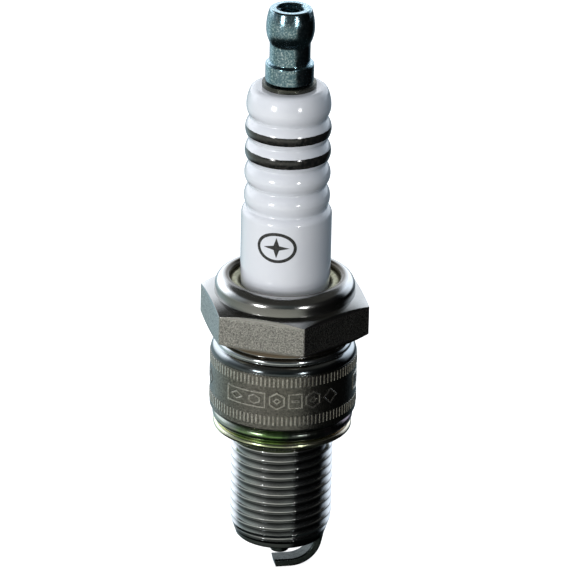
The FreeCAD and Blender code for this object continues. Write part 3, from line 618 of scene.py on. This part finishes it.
cut_upright(SIGN_STEP, SIGN_CUTS)
bpy.ops.object.mode_set(mode="OBJECT")
print("flat sign:", len(sign.data.polygons), "faces")

# %% [markdown]
# Ink has a thickness: half of it is sunk in the glaze, so that no gap shows under its edge. The
# sign is rolled like the strip and turned to the side it faces. Fired ink is nearly black, with a
# duller gloss than the glaze.

# %% Roll the sign on and ink it
wall = sign.modifiers.new("wall", "SOLIDIFY")
wall.thickness, wall.offset = 2 * INK * MM, 1.0
bpy.ops.object.modifier_apply(modifier="wall")
sign.location = (0, INK * MM, SIGN_UP * MM)
bpy.ops.object.transform_apply(location=True, rotation=True, scale=True)
roll_round(sign, INSULATOR_RADIUS)
sign.rotation_euler.z = radians(SIGN_TURN)
bpy.ops.object.transform_apply(location=True, rotation=True, scale=True)
ink = start_finish("fired_ink", IOR=1.5, Coat_Weight=0.6, Coat_Roughness=0.08)
wire(ink,
     Base_Color=ramp(ink, grain(ink, 0.3, 4.0), [(0.4, (0.010, 0.011, 0.012, 1)),
                                                 (0.75, (0.05, 0.05, 0.05, 1))]),
     Roughness=ramp(ink, grain(ink, 0.5), [(0.3, 0.35), (0.7, 0.55)]))
sign.data.materials.append(ink)
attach(sign, "plug")
sign.select_set(False)
print("sign:", len(sign.data.polygons), "faces")

# %% [markdown]
# The floor is a plain pale sheet that glows a little, so it stays pale at any light. Glossy metal
# shows everything round it, so the floor is kept out of its reflections and the world gives them.

# %% Floor
FLOOR_WIDTH = 6
floor_finish = start_finish("pale_floor", Roughness=0.9, Emission_Color=(1, 1, 1, 1),
                            Emission_Strength=0.85)
cloudy = grain(floor_finish, 40.0)
wire(floor_finish, Base_Color=ramp(floor_finish, cloudy, [(0.3, 0.88), (0.7, 0.92)]))
floor_finish.cycles.emission_sampling = "NONE"
bpy.ops.mesh.primitive_plane_add(size=FLOOR_WIDTH, location=(0, 0, cad_box[0][2]))
floor = bpy.context.object
floor.name = "floor"
floor.data.materials.append(floor_finish)
floor.visible_glossy = floor.visible_diffuse = floor.visible_shadow = False
floor.select_set(False)
print(f"floor at {cad_box[0][2] / MM:.2f} mm")

# %% [markdown]
# The world is what the metal mirrors, so it is painted like a small room. Below the horizon it is
# grey on the left and in front, and black on the right. Above it is white behind, dim in front and
# black on the right. Straight up and straight down it is nearly black. Colours go by azimuth in
# degrees: 0 is the front, positive to the right, and 180 is behind.

# %% World
world = bpy.data.worlds.new("studio")
bpy.context.scene.world = world
world.use_nodes = True
BELOW = [(-180, (0.24, 0.34, 0.40, 1)), (-158, (0.32, 0.44, 0.50, 1)),
         (-130, (0.56, 0.70, 0.72, 1)), (-95, (0.38, 0.42, 0.38, 1)),
         (-50, (0.46, 0.46, 0.42, 1)), (-5, (0.46, 0.46, 0.41, 1)), (22, (0.38, 0.39, 0.35, 1)),
         (38, (0.01, 0.01, 0.01, 1)), (130, (0.0, 0.0, 0.0, 1)), (155, (0.10, 0.13, 0.15, 1)),
         (180, (0.24, 0.34, 0.40, 1))]
ABOVE = [(-180, (1.4, 1.48, 1.58, 1)), (-112, (1.4, 1.48, 1.58, 1)), (-94, (0.30, 0.34, 0.37, 1)),
         (-60, (0.12, 0.12, 0.11, 1)), (0, (0.045, 0.055, 0.055, 1)), (40, (0.01, 0.01, 0.01, 1)),
         (108, (0.0, 0.0, 0.0, 1)), (136, (0.9, 1.0, 1.12, 1)), (180, (1.4, 1.48, 1.58, 1))]
OVERHEAD, UNDERFOOT = (0.028, 0.028, 0.025, 1), (0.006, 0.008, 0.008, 1)
FEET, HORIZON, CEILING = (-0.60, -0.46), (-0.12, 0.0), (0.46, 0.62)
tree = world.node_tree
direction = tree.nodes.new("ShaderNodeTexCoord").outputs["Generated"]
quarter = add(world, "Mapping", {"Vector": direction, "Rotation": (0, 0, pi / 2)})
sweep = add(world, "TexGradient", {"Vector": quarter}, gradient_type="RADIAL")
slope = add(world, "SeparateXYZ", {0: direction}).node.outputs["Z"]


def round_plug(colours):
    """A ramp over the azimuth, whose full turn starts and ends behind the plug."""
    return ramp(world, sweep, [(angle / 360 + 0.5, colour) for angle, colour in colours])


def above(low, high):
    """0 below the low slope, 1 above the high one; a slope is the sine of the elevation."""
    return add(world, "MapRange", {"Value": slope, "From Min": low, "From Max": high})


sky = blend(world, above(*FEET), UNDERFOOT, round_plug(BELOW))
sky = blend(world, above(*HORIZON), sky, round_plug(ABOVE))
sky = blend(world, above(*CEILING), sky, OVERHEAD)
tree.links.new(sky, tree.nodes["Background"].inputs["Color"])
print("world:", len(BELOW), "colours below the horizon,", len(ABOVE), "above it")

# %% [markdown]
# Lights are placed by their direction from the middle of the plug. Three soft ones don't show in
# reflections, so they light the white ceramic only: a key at the front left, a cool fill at the
# right and one above. Two small flashes, each with a dimmer card round it, give the twin
# highlights on metal and glaze.

# %% Lights
MIDDLE = Vector((0, 0, 20.23 * MM))


def towards(azimuth, elevation):
    a, e = radians(azimuth), radians(elevation)
    return Vector((sin(a) * cos(e), -cos(a) * cos(e), sin(e)))


def softbox(name, azimuth, elevation, distance, width, height, brightness,
            glossy=True, diffuse=True):
    """An area light that faces the plug. Brightness is that of its face, at any size."""
    data = bpy.data.lights.new(name, "AREA")
    data.shape, data.size, data.size_y = "RECTANGLE", width, height
    data.energy = brightness * pi * width * height
    lamp = bpy.data.objects.new(name, data)
    bpy.context.scene.collection.objects.link(lamp)
    way = towards(azimuth, elevation)
    lamp.location = MIDDLE + way * distance
    lamp.rotation_euler = way.to_track_quat("Z", "Y").to_euler()
    lamp.visible_glossy, lamp.visible_diffuse = glossy, diffuse
    print(f"light {name}: {data.energy:.2f} W")
    return lamp


softbox("key", -33, 8, 0.9, 0.8, 0.8, 3.35, glossy=False)
fill = softbox("cool_fill", 110, 10, 0.9, 0.6, 0.6, 0.9, glossy=False)
fill.data.color = (0.45, 0.75, 1.0)
softbox("top", -10, 80, 1.0, 1.0, 1.0, 1.0, glossy=False)
softbox("left_card", -40, 7, 1.0, 0.24, 0.22, 6.0, diffuse=False)
softbox("left_flash", -40, 6, 0.99, 0.08, 0.07, 60)
softbox("right_card", 30.5, 7, 1.0, 0.15, 0.20, 5.0, diffuse=False)
softbox("right_flash", 30.5, 6, 0.99, 0.06, 0.07, 50)

# %% [markdown]
# The camera looks slightly down at the plug through a long lens, and leans a little.

# %% Camera
ELEVATION, DISTANCE, LEAN = 22.98, 0.8, 1.24
SENSOR, LENS = 36, 376.1
camera_data = bpy.data.cameras.new("camera")
camera_data.sensor_width, camera_data.lens = SENSOR, LENS
camera_data.clip_start, camera_data.clip_end = 0.05, 20
camera = bpy.data.objects.new("camera", camera_data)
bpy.context.scene.collection.objects.link(camera)
camera.matrix_world = (Matrix.Translation(MIDDLE + towards(0, ELEVATION) * DISTANCE)
                       @ Matrix.Rotation(radians(90 - ELEVATION), 4, "X")
                       @ Matrix.Rotation(radians(LEAN), 4, "Z"))
bpy.context.scene.camera = camera
bpy.context.scene.view_settings.view_transform = "Standard"
print(f"camera {DISTANCE} m away, {ELEVATION} degrees up")

# %% Size of the frame
print("frame box:", [round(v / MM, 2) for c in cad_box for v in c])
